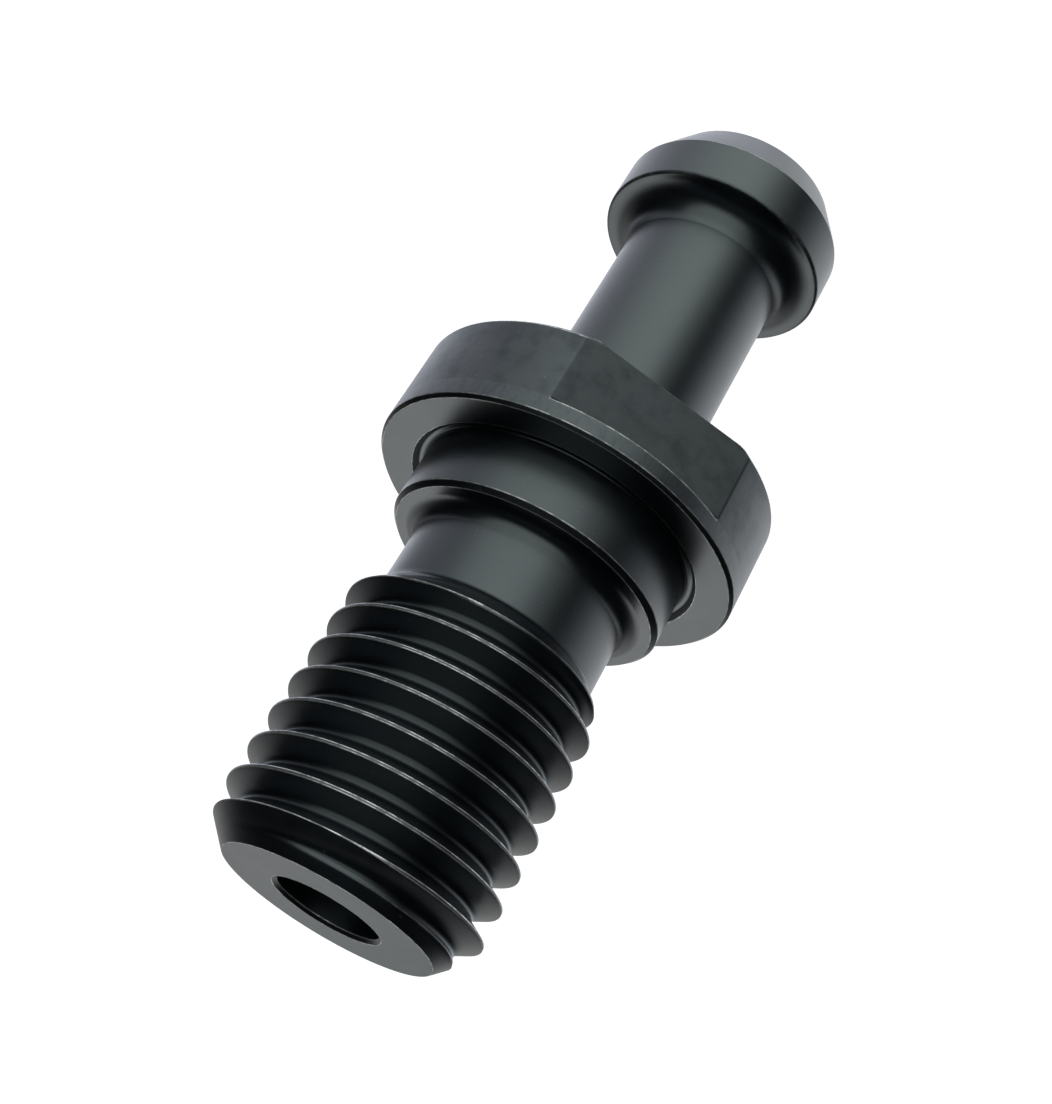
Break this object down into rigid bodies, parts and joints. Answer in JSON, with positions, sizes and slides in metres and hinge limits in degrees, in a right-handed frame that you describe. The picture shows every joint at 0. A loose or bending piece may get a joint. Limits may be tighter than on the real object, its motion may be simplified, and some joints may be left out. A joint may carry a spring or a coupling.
{
  "type": "pull stud",
  "caption": "Turned steel knob whose threaded shank screws into a taper tool holder and whose head is gripped to pull the holder in.",
  "frame": {"origin": "centre of the seat face, the side of the flange that beds on the tool holder", "axes": "+Z along the axis towards the threaded end, +X out of one spanner flat"},
  "size_m": [0.023, 0.023, 0.054],
  "materials": {
    "steel": "black oxide over fine turning marks, satin, slightly oily"
  },
  "bodies": {
    "root": {"pull_stud": "steel"}
  },
  "joints": []
}
